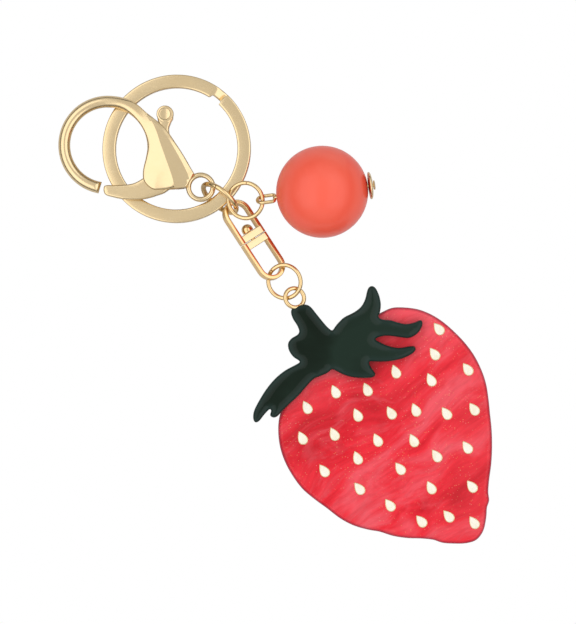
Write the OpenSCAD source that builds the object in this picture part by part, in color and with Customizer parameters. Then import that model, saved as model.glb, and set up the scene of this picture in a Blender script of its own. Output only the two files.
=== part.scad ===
// Fruit-shaped bag charm on a lobster clasp and split ring, laid flat on a table.
// +Z is up from the table, +Y points to the key ring's end, origin under the middle.

/* [Charm plates] */
// thickness of the red berry plate
berry_t = 3.4; // [3.0:0.1:3.8]
// thickness of the green leaf plate glued on top of it
leaf_t = 2.8; // [2.4:0.1:3.2]
// depth of the pockets that hold the seeds
pocket_depth = 0.8; // [0.5:0.1:1.2]

/* [Seeds] */
// length of one teardrop seed, rim included
seed_len = 3.5; // [3.0:0.1:3.8]
// width of one teardrop seed, rim included
seed_wid = 2.3; // [1.8:0.1:2.5]
// width of the fine metal rim round each seed
rim_w = 0.18; // [0.12:0.01:0.3]
// how far a seed stands proud of the plate
seed_proud = 0.1; // [0:0.05:0.2]

/* [Key ring] */
// outside diameter of the flat split ring
key_od = 35; // [33:0.5:36]
// width of its strip
key_w = 3.1; // [2.6:0.1:3.3]
// thickness of one of its two coils
key_coil_t = 1.08; // [0.9:0.01:1.08]

/* [Lobster clasp] */
// radius of the hook, to the middle of its wire
hook_r = 10.2; // [9.8:0.1:10.4]
// diameter of the hook's wire
hook_d = 2.8; // [2.4:0.1:3.0]
// thickness of the body at its belly
belly_t = 5.0; // [4.2:0.1:5.4]
// thickness of the lever
lever_t = 2.3; // [2.0:0.1:2.3]
// width of the slot that the lever moves in
slot_w = 2.5; // [2.5:0.1:2.7]
// diameter of the hidden pivot pin
pivot_d = 1.6; // [1.2:0.1:1.8]
// running clearance of the lever on its pin, per side
pivot_gap = 0.05; // [0.03:0.01:0.1]
// radius of the eye, to the middle of its rim
eye_r = 2.85; // [2.7:0.05:2.9]

/* [Round rings] */
// middle radius of the link ring that joins everything
link_r = 4.75; // [4.7:0.05:4.9]
// its wire diameter
link_d = 1.2; // [1.0:0.1:1.2]
// middle radius of the ring that carries the bead
bead_ring_r = 4.15; // [4.1:0.05:4.2]
// middle radius of the ring that carries the charm
charm_ring_r = 3.95; // [3.9:0.05:4.0]
// wire diameter of those two rings
jump_d = 1.0; // [0.9:0.05:1.0]
// width of the saw cut where each round ring opens
cut_w = 0.08; // [0.05:0.01:0.15]

/* [Swivel] */
// middle radius of the two U bails
bail_r = 3.0; // [2.9:0.05:3.1]
// thickness of the bail strip
bail_t = 1.0; // [0.8:0.1:1.0]
// depth of the bail strip
bail_depth = 1.8; // [1.6:0.1:1.8]
// radius of the rivet's shank
rivet_r = 0.55; // [0.4:0.05:0.7]
// radius of the rivet's domed head
rivet_head_r = 1.35; // [1.2:0.05:1.5]
// running clearance of the rivet in the top bail, per side
rivet_gap = 0.05; // [0.03:0.01:0.1]

/* [Bead] */
// diameter of the bead
bead_d = 21.5; // [20:0.1:21.6]
// diameter of the head pin's wire
pin_d = 0.84; // [0.8:0.02:0.9]
// running clearance of the pin in the bead, per side
bead_gap = 0.06; // [0.03:0.01:0.1]
// outside diameter of the end cap
cap_d = 6.4; // [5.6:0.1:6.8]
// thickness of the end cap
cap_h = 1.2; // [0.9:0.05:1.25]

/* [Hidden] */
$fn = 64;

eps = 0.01;
lift = 0.02;

brass_c = [0.86, 0.74, 0.50];
steel_c = [0.62, 0.62, 0.64];
coral_c = [0.95, 0.36, 0.28];
berry_c = [0.86, 0.12, 0.20];
leaf_c = [0.10, 0.15, 0.12];
cream_c = [0.98, 0.96, 0.87];

// Where each part lies: [x, y, z] of its own centre.
link_lean = 68;
link_turn = -38.5;
link_at = [-12.85, 26.1, link_d / 2 + link_r * sin(link_lean) + lift];

key_tilt = 4.2;
key_turn = -45;
key_at = [-23, 37.8, key_od / 2 * sin(key_tilt) + lift];

eye_at = [-17.3, 28.7, 5.7];
clasp_turn = 155;
clasp_dip = 3;

bead_ring_at = [-6.77, 25.49, 8.23];
bead_ring_turn = 24.8;
bead_ring_tilt = 16;

bead_at = [11.15, 27.45, bead_d / 2 + lift];
pin_turn = 7.2;
pin_rise = 5.9;
pin_roll = -56.5;

swivel_at = [-6.6, 19.0, 4.67];
swivel_turn = -57;
swivel_roll = -25.8;

charm_ring_at = [2.34, 6.55, 4.74];
charm_ring_turn = 29.7;
charm_ring_tilt = 17.9;

screw_eye_at = [4.74, 2.74, berry_t + leaf_t / 2];
screw_turn = 128.3;
screw_roll = 19.7;
screw_r = 2.3;
screw_d = 1.0;

// Half the distance between the outermost edges, so the origin lies in the middle.
left_edge = eye_at[0] - 22 - hook_r - hook_d / 2;
right_edge = 51.3;
low_edge = -55.2;
high_edge = key_at[1] + key_od / 2;
centre = [(left_edge + right_edge) / 2, (low_edge + high_edge) / 2, 0];

// A smooth closed curve through a ring of points, with n steps between neighbours.
function spline_pt(a, b, c, d, t) =
  0.5 * (2 * b + (c - a) * t + (2 * a - 5 * b + 4 * c - d) * t * t
  + (3 * b - a - 3 * c + d) * t * t * t);
function smooth_loop(p, n) = let (m = len(p))
  [for (i = [0:m - 1]) for (k = [0:n - 1])
    spline_pt(p[(i + m - 1) % m], p[i], p[(i + 1) % m], p[(i + 2) % m], k / n)];

berry_pts = [
  [25.6, -0.5], [27.8, 0.4], [30.4, 0.5], [33.6, 0.1], [36.4, -0.9], [39.0, -2.4],
  [41.6, -4.5], [44.4, -7.3], [46.8, -10.4], [48.6, -13.8], [49.8, -17.2],
  [50.4, -20.6], [50.8, -24.4], [51.2, -28.4], [51.3, -32.4], [51.1, -36.4],
  [50.6, -40.2], [50.4, -43.0], [50.6, -45.0], [50.1, -46.7], [49.9, -49.2],
  [49.2, -52.2], [47.6, -54.3], [45.2, -55.1], [42.4, -55.2], [39.6, -55.0],
  [37.4, -54.3], [34.6, -54.0], [31.4, -53.9], [28.0, -53.4], [24.8, -52.4],
  [22.0, -51.9], [18.6, -50.9], [15.4, -49.2], [12.4, -46.9], [9.4, -44.7],
  [6.6, -42.3], [4.4, -39.4], [2.6, -36.2], [1.4, -32.8], [0.9, -29.4],
  [1.0, -26.2], [1.8, -23.4], [3.8, -19.8], [6.4, -15.6], [8.6, -11.4],
  [11.6, -8.0], [15.4, -5.0], [19.4, -2.9], [23.0, -1.8]];

leaf_pts = [
  [4.1, 0.1], [5.2, 0.8], [6.9, 1.2], [8.4, 0.7], [10.0, -1.2], [11.8, -3.4],
  [13.0, -4.6], [13.7, -4.8], [14.6, -3.6], [16.3, -1.9], [18.6, -0.7],
  [20.3, 0.6], [21.3, 2.4], [21.9, 4.7], [22.7, 5.5], [23.7, 5.1], [24.6, 3.3],
  [25.0, 1.2], [24.8, -0.6], [24.5, -1.7], [25.3, -2.3], [27.2, -2.5],
  [29.0, -3.0], [31.0, -3.4], [33.0, -3.0], [34.3, -2.5], [34.8, -3.1],
  [34.5, -4.4], [33.4, -5.8], [31.6, -6.7], [29.4, -6.5], [26.8, -6.2],
  [24.8, -6.4], [23.8, -7.0], [24.8, -7.7], [27.0, -8.6], [29.2, -9.0],
  [31.4, -8.7], [32.7, -8.6], [33.2, -9.3], [32.5, -10.3], [30.4, -11.4],
  [27.6, -12.1], [24.8, -12.3], [22.6, -12.2], [22.3, -12.8], [23.0, -14.0],
  [23.7, -15.1], [23.2, -15.9], [21.4, -16.1], [18.8, -16.0], [16.4, -15.4],
  [14.4, -14.4], [13.5, -14.1], [12.6, -14.8], [11.0, -15.6], [9.3, -16.3],
  [7.6, -18.0], [5.8, -20.1], [3.8, -22.0], [2.0, -23.7], [0.8, -25.0],
  [-0.2, -25.4], [-1.0, -24.9], [-0.8, -23.8], [-1.2, -23.5], [-2.3, -24.6],
  [-3.6, -26.2], [-4.5, -26.5], [-5.0, -25.6], [-4.8, -23.8], [-3.6, -21.4],
  [-1.9, -18.7], [0.1, -16.3], [2.4, -14.4], [4.6, -13.2], [5.8, -12.5],
  [5.7, -12.0], [4.4, -11.1], [3.4, -9.6], [3.2, -8.0], [4.0, -6.8],
  [5.3, -6.0], [5.8, -5.2], [5.4, -3.9], [4.4, -2.3], [3.9, -0.9]];

// Each seed: x, y of its middle, then its lean to the left.
seeds = [
  [38.6, -4.5, 38], [37.6, -10.4, 36], [45.4, -14.0, 36], [28.5, -14.6, 22],
  [36.8, -16.5, 26], [14.3, -19.3, 25], [21.8, -18.8, 24], [7.6, -23.0, 28],
  [19.5, -24.8, 25], [27.4, -24.3, 30], [33.2, -23.6, 24], [40.4, -24.4, 34],
  [46.9, -23.4, 34], [6.5, -30.2, 26], [14.0, -29.3, 26], [24.2, -30.7, 26],
  [32.7, -30.8, 26], [45.3, -32.4, 34], [19.5, -34.9, 22], [38.1, -34.4, 34],
  [29.5, -37.4, 36], [11.6, -37.9, 34], [19.9, -42.1, 38], [36.8, -41.9, 28],
  [46.4, -41.6, 38], [27.1, -46.0, 36], [34.5, -49.8, 40], [40.9, -48.6, 40],
  [46.9, -50.1, 34]];

// The clasp's outlines are stated from the middle of its eye.
body_pts = [
  [-22.0, 21.6], [-18.8, 21.4], [-16.6, 20.6], [-14.6, 19.3], [-12.7, 17.5],
  [-10.5, 15.8], [-8.3, 13.8], [-6.5, 11.2], [-5.1, 9.1], [-3.8, 7.0],
  [-2.5, 4.75], [-1.4, 2.9], [-2.9, 0.4], [-3.7, -0.2], [-6.7, -0.5],
  [-9.7, -0.7], [-11.2, -0.6], [-12.4, 0.2], [-13.3, 1.3], [-13.6, 2.5],
  [-13.5, 4.3], [-12.9, 6.8], [-12.5, 9.3], [-12.8, 11.7], [-13.7, 13.9],
  [-15.2, 15.9], [-17.3, 17.7], [-19.6, 18.6], [-22.0, 18.8]];
belly_pts = [
  [-14.6, 17.2], [-12.6, 16.1], [-10.6, 14.0], [-8.6, 11.8], [-6.9, 9.4],
  [-5.4, 6.9], [-4.2, 4.2], [-3.9, 1.6], [-4.4, 0.1], [-6.7, -0.3],
  [-9.6, -0.5], [-11.1, -0.4], [-12.2, 0.3], [-13.1, 1.4], [-13.4, 2.6],
  [-13.3, 4.4], [-12.7, 6.8], [-12.3, 9.3], [-12.6, 11.8], [-13.5, 14.1],
  [-14.9, 16.1]];
shoulder_pts = [
  [-15.6, 19.2], [-13.6, 17.9], [-11.4, 15.6], [-9.4, 13.4], [-7.6, 11.0],
  [-6.1, 8.6], [-4.6, 6.0], [-3.4, 3.4], [-3.4, 0.4], [-6.7, -0.4],
  [-9.7, -0.6], [-11.2, -0.5], [-12.3, 0.2], [-13.2, 1.3], [-13.5, 2.5],
  [-13.4, 4.3], [-12.8, 6.8], [-12.4, 9.3], [-12.7, 11.7], [-13.6, 14.0],
  [-15.1, 16.0], [-16.2, 17.2]];
slot_pts = [
  [-10.5, 20.0], [-2.0, 12.0], [-2.0, 6.0], [-3.9, 3.6], [-3.9, -3.0],
  [-15.0, -3.0], [-15.0, 8.4], [-11.6, 9.6], [-11.2, 16.6]];
lever_pts = [
  [-22.7, 0.2], [-22.0, 0.5], [-20.2, 0.5], [-18.2, 0.6], [-16.2, 0.8],
  [-14.5, 1.5], [-12.7, 2.7], [-10.9, 3.9], [-9.9, 5.8], [-9.7, 9.3],
  [-9.9, 13.3], [-10.1, 15.7], [-7.1, 15.3], [-7.3, 13.3], [-6.7, 9.8],
  [-5.5, 5.8], [-4.8, 2.8], [-5.3, 0.7], [-6.9, -0.2], [-8.7, -1.4],
  [-10.2, -1.9], [-11.7, -2.4], [-13.7, -2.8], [-15.7, -2.9], [-18.2, -2.8],
  [-20.7, -2.3], [-22.3, -1.8], [-22.8, -0.9]];
hook_c = [-22, 10];
hook_tip_a = 261;
pivot_at = [-7.0, 2.3];
knob_at = [-8.5, 17.1];
knob_r = 2.0;
eye_w = 1.1;
eye_h = 2.0;
neck_t = hook_d;
shoulder_t = (belly_t + neck_t) / 2;
pin_len = slot_w + 1.3;
spring_r = 1.45;
spring_wire = 0.34;
spring_pitch = 0.28;
spring_z = -lever_t / 2 + 0.28;
pocket_r = 1.95;
pocket_h = 0.95;

// A flat strip's cross-section with its corners eased, centred on x = r.
module strip(r, w, h, ease) {
  polygon([[r - w / 2 + ease, -h / 2], [r + w / 2 - ease, -h / 2],
           [r + w / 2, -h / 2 + ease], [r + w / 2, h / 2 - ease],
           [r + w / 2 - ease, h / 2], [r - w / 2 + ease, h / 2],
           [r - w / 2, h / 2 - ease], [r - w / 2, -h / 2 + ease]]);
}

module wire_ring(r, d) {
  rotate_extrude() translate([r, 0]) circle(d / 2);
}

// A round ring bent from wire, with the saw cut where its ends meet.
module cut_ring(r, d, at_angle) {
  difference() {
    wire_ring(r, d);
    rotate(at_angle) translate([r - d, -cut_w / 2, -d]) cube([2 * d, cut_w, 2 * d]);
  }
}

module arc_strip(r, w, h, ease, from, sweep) {
  rotate([0, 0, from]) rotate_extrude(angle = sweep) strip(r, w, h, ease);
}

module arc_wire(r, d, from, sweep) {
  rotate([0, 0, from]) rotate_extrude(angle = sweep) translate([r, 0]) circle(d / 2);
}

// A round rod along +X.
module rod(r, len) {
  rotate([0, 90, 0]) cylinder(r = r, h = len);
}

module teardrop(len, wid) {
  steps = 20;
  widest = 0.77;
  polygon([for (i = [0:steps - 1]) let (a = 360 * i / steps)
    [-wid / 2 / widest * sin(a) * sin(a / 2), len / 2 * cos(a)]]);
}

module each_seed() {
  for (s = seeds) translate([s[0], s[1], 0]) rotate([0, 0, s[2]]) children();
}

// Places of the parts on the table.
module on_table() {
  translate(-centre) children();
}

module in_clasp() {
  on_table() translate(eye_at) rotate([0, 0, clasp_turn]) rotate([0, clasp_dip, 0])
    rotate([0, 0, -clasp_turn]) children();
}

module in_pin() {
  on_table() translate(bead_at) rotate([0, 0, pin_turn]) rotate([0, -pin_rise, 0])
    children();
}

module in_swivel() {
  on_table() translate(swivel_at) rotate([0, 0, swivel_turn]) rotate([swivel_roll, 0, 0])
    children();
}

module in_screw_eye() {
  on_table() translate(screw_eye_at) rotate([0, 0, screw_turn])
    rotate([screw_roll, 0, 0]) children();
}

// The hub: every branch hangs on this one ring.
module link_ring() {
  seam = 118;
  color(brass_c)
    on_table() translate(link_at) rotate([0, 0, link_turn]) rotate([link_lean, 0, 0])
      cut_ring(link_r, link_d, seam);
}

// Split ring: two coils of flat strip, stepping down where one coil passes the other.
module key_ring() {
  ease = 0.2;
  coil_gap = 0.04;
  coil_r = (key_od - key_w) / 2;
  blunt_end = 46;
  step_from = 50.5;
  step_to = 52.5;
  inner_end = 57.4;
  upper_z = key_coil_t * 1.5 + coil_gap;
  lower_z = key_coil_t / 2;
  step_w = key_w - 0.9;
  step_ease = 0.1;
  full_t = 2 * key_coil_t + coil_gap;
  color(brass_c)
    on_table() translate(key_at) rotate([0, 0, key_turn]) rotate([0, -key_tilt, 0])
      rotate([0, 0, -key_turn]) {
        translate([0, 0, upper_z])
          arc_strip(coil_r, key_w, key_coil_t, ease, inner_end, 360 - inner_end + blunt_end);
        translate([0, 0, lower_z])
          arc_strip(coil_r, key_w, key_coil_t, ease, inner_end, 360 - inner_end + blunt_end);
        translate([0, 0, upper_z])
          arc_strip(coil_r, step_w, key_coil_t - step_ease, ease, step_from, inner_end - step_from + 1);
        translate([0, 0, lower_z])
          arc_strip(coil_r, step_w, key_coil_t - step_ease, ease, blunt_end - 1, step_to - blunt_end + 1);
        translate([0, 0, full_t / 2])
          arc_strip(coil_r, step_w, full_t - step_ease, ease, step_from, step_to - step_from);
      }
}

// Die-cast body: hook, hollow belly with the lever's slot, and the eye.
module clasp_body() {
  color(brass_c)
    in_clasp() {
      translate([hook_c[0], hook_c[1], 0])
        arc_wire(hook_r, hook_d, 90, hook_tip_a - 90);
      difference() {
        union() {
          linear_extrude(height = neck_t, center = true) polygon(smooth_loop(body_pts, 2));
          linear_extrude(height = shoulder_t, center = true) polygon(shoulder_pts);
          linear_extrude(height = belly_t, center = true) polygon(belly_pts);
        }
        linear_extrude(height = slot_w, center = true) polygon(slot_pts);
        translate([pivot_at[0], pivot_at[1], -pin_len / 2 - eps])
          cylinder(d = pivot_d + 2 * eps, h = pin_len + 2 * eps);
        cylinder(r = eye_r, h = belly_t, center = true);
      }
      rotate_extrude() strip(eye_r, eye_w, eye_h, 0.3);
    }
}

module clasp_pin() {
  color(steel_c)
    in_clasp() translate([pivot_at[0], pivot_at[1], -pin_len / 2])
      cylinder(d = pivot_d, h = pin_len);
}

// Two-turn torsion spring round the pin, in a pocket of the lever.
module clasp_spring() {
  leg = 0.45;
  color(steel_c)
    in_clasp() translate([pivot_at[0], pivot_at[1], spring_z]) {
      for (k = [0, 1])
        translate([0, 0, k * spring_pitch]) wire_ring(spring_r, spring_wire);
      for (k = [0, 1])
        translate([0, 0, k * spring_pitch]) rotate([0, 0, 60 + 160 * k])
          translate([spring_r - leg, 0, 0]) rod(spring_wire / 2 - 0.03, leg);
    }
}

// Gate and thumb tab, cut as one lever, turning on the pin.
module clasp_lever() {
  color(brass_c)
    in_clasp()
      difference() {
        union() {
          linear_extrude(height = lever_t, center = true) polygon(smooth_loop(lever_pts, 2));
          translate([knob_at[0], knob_at[1], -lever_t / 2])
            cylinder(r = knob_r, h = lever_t);
        }
        translate([pivot_at[0], pivot_at[1], -lever_t])
          cylinder(r = pivot_d / 2 + pivot_gap, h = 2 * lever_t);
        translate([pivot_at[0], pivot_at[1], -lever_t / 2 - eps])
          cylinder(r = pocket_r, h = pocket_h);
      }
}

module bead_ring() {
  seam = 60;
  color(brass_c)
    on_table() translate(bead_ring_at) rotate([0, 0, bead_ring_turn])
      rotate([0, -bead_ring_tilt, 0]) cut_ring(bead_ring_r, jump_d, seam);
}

// Head pin: a loop bent at one end, a shank through the bead, a flat head.
module head_pin() {
  loop_r = 1.45;
  corner_r = 0.6;
  far_x = -13.83;
  near_x = -11.85;
  close_gap = 0.12;
  flat = loop_r - corner_r;
  pr = pin_d / 2;
  head_x = bead_d / 2 + 1.35;
  head_r = 1.1;
  head_t = 0.38;
  color(brass_c)
    in_pin() rotate([pin_roll, 0, 0]) {
      translate([far_x, 0, 0]) arc_wire(loop_r, pin_d, 90, 180);
      for (side = [-1, 1])
        translate([far_x, side * loop_r, 0]) rod(pr, near_x - far_x);
      translate([near_x, flat, 0]) arc_wire(corner_r, pin_d, 0, 90);
      translate([near_x, -flat, 0]) arc_wire(corner_r, pin_d, 270, 90);
      translate([near_x + corner_r, 0, 0]) rotate([-90, 0, 0]) cylinder(r = pr, h = flat);
      translate([near_x + corner_r, -flat, 0]) rotate([-90, 0, 0])
        cylinder(r = pr, h = flat - pr - close_gap);
      translate([near_x + corner_r, 0, 0]) sphere(r = pr);
      translate([near_x + corner_r, 0, 0]) rod(pr, head_x - near_x - corner_r + 0.1);
      translate([head_x, 0, 0]) rod(head_r, head_t);
    }
}

module bead() {
  color(coral_c)
    in_pin() rotate([0, 90, 0]) rotate_extrude()
      difference() {
        circle(bead_d / 2);
        translate([-bead_d, -bead_d]) square([bead_d + pin_d / 2 + bead_gap, 2 * bead_d]);
      }
}

// Thick domed cap between the bead and the pin's head, bulged on both faces.
module bead_cap() {
  hole_r = pin_d / 2 + 0.08;
  near_x = bead_d / 2 + 0.05;
  r = cap_d / 2;
  color(brass_c)
    in_pin() translate([near_x, 0, 0]) rotate([0, 90, 0]) rotate_extrude()
      polygon([[hole_r, 0], [r * 0.45, 0.06], [r * 0.72, 0.18], [r * 0.92, 0.38],
               [r, cap_h / 2], [r * 0.92, cap_h - 0.34], [r * 0.72, cap_h - 0.15],
               [r * 0.45, cap_h - 0.05], [hole_r, cap_h]]);
}

// A U of flat strip with a cross bar: arc at uc, legs back to u_end.
module bail(uc, dir, u_end, bar_from, bar_to) {
  ease = 0.15;
  leg_from = min(uc, u_end);
  leg_len = abs(u_end - uc);
  translate([uc, 0, 0])
    arc_strip(bail_r, bail_t, bail_depth, ease, dir > 0 ? -90 : 90, 180);
  for (side = [-1, 1])
    translate([leg_from, side * bail_r, 0]) rotate([90, 0, 90])
      linear_extrude(height = leg_len) strip(0, bail_t, bail_depth, ease);
  translate([bar_from, -bail_r, -bail_depth / 2])
    cube([bar_to - bar_from, 2 * bail_r, bail_depth]);
}

// Cross bars and bends of the two bails, as distances along the swivel.
bar_gap = 0.15;
top_bar = [1.0, 2.8];
low_bar = [top_bar[1] + bar_gap, 4.7];
top_bend = -3.9;
low_bend = 10.3;

module swivel_top() {
  color(brass_c)
    in_swivel() difference() {
      bail(top_bend, -1, top_bar[1] - 0.1, top_bar[0], top_bar[1]);
      translate([top_bar[0] - 1, 0, 0]) rod(rivet_r + rivet_gap, 4);
    }
}

module swivel_bottom() {
  color(brass_c)
    in_swivel() difference() {
      bail(low_bend, 1, low_bar[0] + 0.1, low_bar[0], low_bar[1]);
      translate([low_bar[0] - 1, 0, 0]) rod(rivet_r, 4);
    }
}

// Rivet: its domed head turns in the top bail, its shank is staked in the lower one.
module swivel_rivet() {
  head_h = 1.9;
  head_gap = 0.08;
  head_w = 2 * rivet_head_r;
  head_to = top_bar[0] - head_gap;
  straight = head_h - rivet_head_r;
  color(brass_c)
    in_swivel() {
      translate([head_to - straight, 0, 0]) rod(rivet_head_r, straight);
      intersection() {
        translate([head_to - straight, 0, 0]) sphere(r = rivet_head_r);
        translate([head_to - straight - head_w, -head_w, -head_w])
          cube([head_w, 2 * head_w, 2 * head_w]);
      }
      translate([head_to - eps, 0, 0]) rod(rivet_r, low_bar[1] - head_to + eps);
    }
}

module charm_ring() {
  seam = 110;
  color(brass_c)
    on_table() translate(charm_ring_at) rotate([0, 0, charm_ring_turn])
      rotate([0, -charm_ring_tilt, 0]) cut_ring(charm_ring_r, jump_d, seam);
}

shank_r = 0.6;
shank_len = 6.5;
thread_pitch = 0.8;
thread_h = 0.14;

// Screw eye: a closed loop whose threaded shank bites into the stem.
module screw_eye() {
  ridge_w = 0.3;
  shank_from = screw_r - 0.1;
  thread_from = shank_from + 1.6;
  threads = 5;
  color(brass_c)
    in_screw_eye() {
      wire_ring(screw_r, screw_d);
      translate([-shank_from - shank_len, 0, 0]) rod(shank_r, shank_len);
      for (k = [0:threads - 1])
        translate([-thread_from - ridge_w - k * thread_pitch, 0, 0])
          rod(shank_r + thread_h, ridge_w);
    }
}

module berry_plate() {
  color(berry_c)
    on_table() difference() {
      linear_extrude(height = berry_t) polygon(smooth_loop(berry_pts, 3));
      each_seed() translate([0, 0, berry_t - pocket_depth])
        linear_extrude(height = pocket_depth + 1) teardrop(seed_len, seed_wid);
    }
}

// The leaf plate is glued on the berry and carries the screw eye in its stem.
module leaf_plate() {
  bore_r = shank_r + thread_h + 0.02;
  loop_clear = 0.05;
  color(leaf_c)
    difference() {
      on_table() translate([0, 0, berry_t])
        linear_extrude(height = leaf_t) polygon(smooth_loop(leaf_pts, 3));
      in_screw_eye() translate([-screw_r - shank_len - 0.2, 0, 0])
        rod(bore_r, shank_len + screw_r);
      in_screw_eye() wire_ring(screw_r, screw_d + 2 * loop_clear);
    }
}

module seed_rims() {
  height = pocket_depth + seed_proud / 2;
  color(brass_c)
    on_table() each_seed() translate([0, 0, berry_t - pocket_depth])
      linear_extrude(height = height)
        difference() {
          teardrop(seed_len, seed_wid);
          teardrop(seed_len - 2.6 * rim_w, seed_wid - 2 * rim_w);
        }
}

module seed_inlays() {
  color(cream_c)
    on_table() each_seed() translate([0, 0, berry_t - pocket_depth])
      linear_extrude(height = pocket_depth + seed_proud)
        teardrop(seed_len - 2.6 * rim_w, seed_wid - 2 * rim_w);
}

link_ring();
key_ring();
clasp_body();
clasp_pin();
clasp_spring();
clasp_lever();
bead_ring();
head_pin();
bead();
bead_cap();
swivel_top();
swivel_bottom();
swivel_rivet();
charm_ring();
screw_eye();
berry_plate();
leaf_plate();
seed_rims();
seed_inlays();
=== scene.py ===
import bpy
import bmesh
import math
import numpy as np
from mathutils import Matrix, Vector, geometry


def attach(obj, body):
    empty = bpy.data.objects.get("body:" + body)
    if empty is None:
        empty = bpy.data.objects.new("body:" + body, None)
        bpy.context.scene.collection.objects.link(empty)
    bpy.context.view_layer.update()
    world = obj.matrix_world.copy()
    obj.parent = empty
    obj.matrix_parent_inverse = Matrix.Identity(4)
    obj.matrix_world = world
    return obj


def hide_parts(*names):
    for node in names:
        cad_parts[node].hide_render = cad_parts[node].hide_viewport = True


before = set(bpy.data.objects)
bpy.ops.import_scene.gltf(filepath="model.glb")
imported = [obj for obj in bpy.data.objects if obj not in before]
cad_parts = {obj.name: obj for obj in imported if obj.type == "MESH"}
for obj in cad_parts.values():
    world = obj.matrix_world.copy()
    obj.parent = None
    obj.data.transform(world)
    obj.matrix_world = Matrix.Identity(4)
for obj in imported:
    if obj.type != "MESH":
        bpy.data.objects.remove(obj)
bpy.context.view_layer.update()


# --- Berry plate ---------------------------------------------------------------------
# A strawberry sawn from a slab of marbled red acetate, 3.4 mm thick. The edge is tumbled
# round and the face polished; streaks and fine glitter were cast into the slab.

MM = 0.001


def loop_area(loop):
    """More than 0 when the loop runs anticlockwise."""
    return 0.5 * sum(a[0] * b[1] - b[0] * a[1] for a, b in zip(loop, loop[1:] + loop[:1]))


def cad_outline(node, height):
    """The outline of a flat CAD plate, in mm, from its face at that height."""
    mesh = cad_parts[node].data
    at = [tuple(round(c / MM, 4) for c in v.co) for v in mesh.vertices]
    edges = {}
    for face in mesh.polygons:
        ring = [at[i] for i in face.vertices]
        if all(abs(p[2] - height) < 0.01 for p in ring):
            edges.update(dict.fromkeys((a[:2], b[:2]) for a, b in zip(ring, ring[1:] + ring[:1])))
    after = {a: b for a, b in edges if (b, a) not in edges}
    loops, left = [], set(after)
    while left:
        start = min(left)
        loop, here = [], start
        while here in left:
            left.discard(here)
            loop.append(here)
            here = after[here]
        loops.append(loop)
    best = max(loops, key=lambda l: abs(loop_area(l)))
    return best if loop_area(best) > 0 else best[::-1]


def curve(a, b, c, d, parts):
    """Catmull-Rom points from each b on towards its c, in so many parts."""
    out = []
    for k in range(parts):
        t = k / parts
        out.append(0.5 * (2 * b + (c - a) * t + (2 * a - 5 * b + 4 * c - d) * t * t
                          + (3 * b - a - 3 * c + d) * t ** 3))
    return np.stack(out, 1).reshape(-1, 2)


def smooth_loop(points, parts):
    """A closed smooth curve through the points, in so many parts between neighbours."""
    p = np.array(points, float)
    return curve(np.roll(p, 1, 0), p, np.roll(p, -1, 0), np.roll(p, -2, 0), parts)


def gap_to(points, line, closed=True):
    """How far each point is from a line, in the line's own units."""
    a = np.asarray(line, float)
    b = np.roll(a, -1, 0) if closed else a[1:]
    a = a if closed else a[:-1]
    d = b - a
    long = np.maximum((d * d).sum(1), 1e-12)
    out = []
    for p in np.array_split(np.asarray(points, float), max(1, len(points) // 400)):
        t = np.clip(((p[:, None] - a) * d).sum(2) / long, 0, 1)
        out.append(np.linalg.norm(p[:, None] - a - t[..., None] * d, axis=2).min(1))
    return np.concatenate(out)


def inside(points, loop):
    """Which points lie inside a loop."""
    x, y = points[:, 0][:, None], points[:, 1][:, None]
    a, b = np.asarray(loop), np.roll(loop, -1, 0)
    crosses = (a[:, 1] > y) != (b[:, 1] > y)
    rise = np.where(b[:, 1] == a[:, 1], 1e-12, b[:, 1] - a[:, 1])
    return ((x < a[:, 0] + (y - a[:, 1]) / rise * (b[:, 0] - a[:, 0])) & crosses).sum(1) % 2 == 1


def net(loop, steps, pitch, creases=()):
    """Triangles that fill an outline: rows along its edge at those steps in, then an even net.
    Creases are open lines that the triangles keep to."""
    loop = np.asarray(loop, float)
    along = np.roll(loop, -1, 0) - np.roll(loop, 1, 0)
    along /= np.linalg.norm(along, axis=1)[:, None]
    inward = np.stack([-along[:, 1], along[:, 0]], 1)
    extra = []
    for step in steps:
        row = loop + inward * step
        extra.append(row[(gap_to(row, loop) > step * 0.97) & inside(row, loop)])
    low, high = loop.min(0), loop.max(0)
    rows = np.arange(low[1], high[1], pitch * 0.866)
    even = np.array([(x + (k % 2) * pitch / 2, y) for k, y in enumerate(rows)
                     for x in np.arange(low[0], high[0], pitch)])
    even = even[inside(even, loop)]
    extra.append(even[gap_to(even, loop) > steps[-1] + 0.45 * pitch])
    extra = np.concatenate(extra)
    edges = [(k, (k + 1) % len(loop)) for k in range(len(loop))]
    points = [loop]
    count = len(loop)
    for crease in creases:
        crease = np.asarray(crease, float)
        extra = extra[gap_to(extra, crease, False) > 0.3 * pitch]
        edges += [(count + k, count + k + 1) for k in range(len(crease) - 1)]
        count += len(crease)
        points.append(crease)
    points = np.concatenate(points + [extra])
    verts, _, faces, *_ = geometry.delaunay_2d_cdt(
        [Vector(p) for p in points], edges, [], 1, 1e-6)
    return np.array([tuple(v) for v in verts]), [tuple(f) for f in faces]


def two_sided(flat, faces, loop, top, low):
    """A solid from a flat net: top and low are the heights of its two faces."""
    n = len(flat)
    verts = ([(x, y, z) for (x, y), z in zip(flat, top)]
             + [(x, y, z) for (x, y), z in zip(flat, low)])
    solid = list(faces) + [tuple(i + n for i in reversed(f)) for f in faces]
    used = {}
    for f in faces:
        for a, b in zip(f, f[1:] + f[:1]):
            used[(a, b)] = True
    for a, b in used:
        if (b, a) not in used:
            solid.append((b, a, a + n, b + n))
    return verts, solid


def rounded(depth, radius, drop=None):
    """How far a tumbled edge falls below the face, at that depth in from the outline."""
    t = 1 - np.clip(depth / radius, 0, 1)
    return (drop or radius) * (1 - np.sqrt(1 - t * t))


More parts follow.
